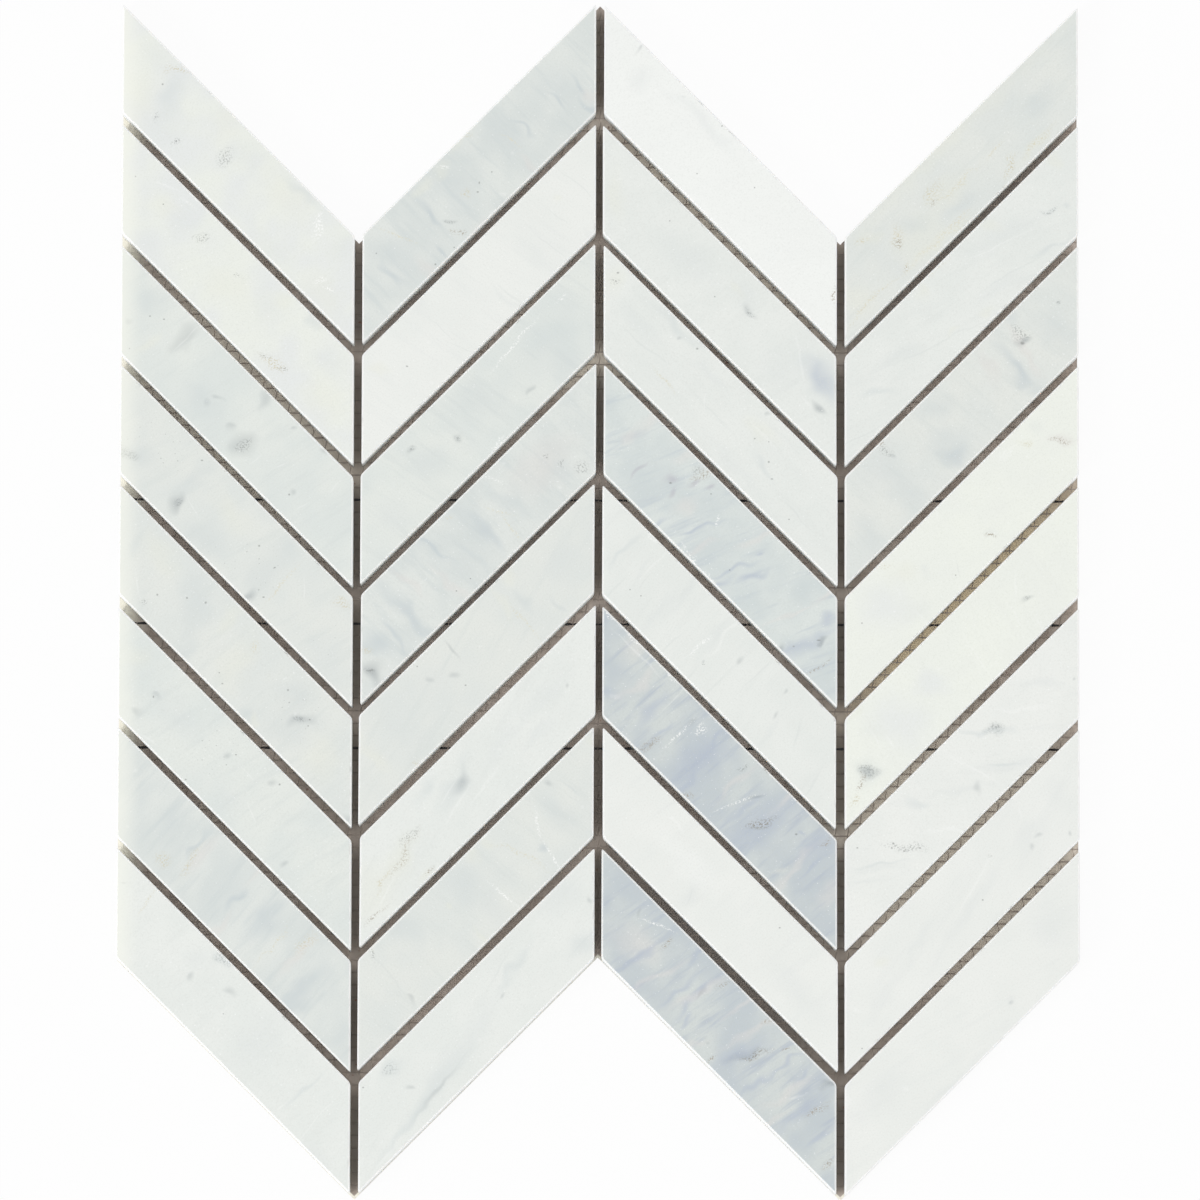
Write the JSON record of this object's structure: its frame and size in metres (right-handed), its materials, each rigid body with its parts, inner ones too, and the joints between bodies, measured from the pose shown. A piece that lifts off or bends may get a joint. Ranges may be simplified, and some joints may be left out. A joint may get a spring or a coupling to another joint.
{
  "type": "chevron wall tile",
  "caption": "Sheet of white marble parallelogram strips laid in chevron with open joints on a zigzag-edged glass-fibre mesh backing.",
  "frame": {"origin": "middle of the sheet's extent across and along, on the underside of the backing", "axes": "+X across the columns to the right of the face, +Y up the sheet as it hangs on a wall, +Z out of the face"},
  "size_m": [0.3076, 0.385, 0.01],
  "materials": {
    "marble_white": "honed white marble with faint clouding",
    "marble_clouded": "honed white marble with blue-grey clouds and streaks",
    "marble_cream": "honed white marble with cream veins",
    "mesh": "glass-fibre mesh soaked in clear adhesive"
  },
  "bodies": {
    "root": {"mesh_backing": "mesh", "chip_c1_r1": "marble_cream", "chip_c1_r2": "marble_white", "chip_c1_r3": "marble_clouded", "chip_c1_r4": "marble_clouded", "chip_c1_r5": "marble_white", "chip_c1_r6": "marble_white", "chip_c1_r7": "marble_white", "chip_c1_r8": "marble_white", "chip_c2_r1": "marble_clouded", "chip_c2_r2": "marble_white", "chip_c2_r3": "marble_clouded", "chip_c2_r4": "marble_clouded", "chip_c2_r5": "marble_white", "chip_c2_r6": "marble_clouded", "chip_c2_r7": "marble_white", "chip_c2_r8": "marble_white", "chip_c3_r1": "marble_white", "chip_c3_r2": "marble_white", "chip_c3_r3": "marble_white", "chip_c3_r4": "marble_clouded", "chip_c3_r5": "marble_white", "chip_c3_r6": "marble_clouded", "chip_c3_r7": "marble_white", "chip_c3_r8": "marble_clouded", "chip_c4_r1": "marble_cream", "chip_c4_r2": "marble_white", "chip_c4_r3": "marble_white", "chip_c4_r4": "marble_cream", "chip_c4_r5": "marble_cream", "chip_c4_r6": "marble_white", "chip_c4_r7": "marble_cream", "chip_c4_r8": "marble_white"}
  },
  "joints": []
}
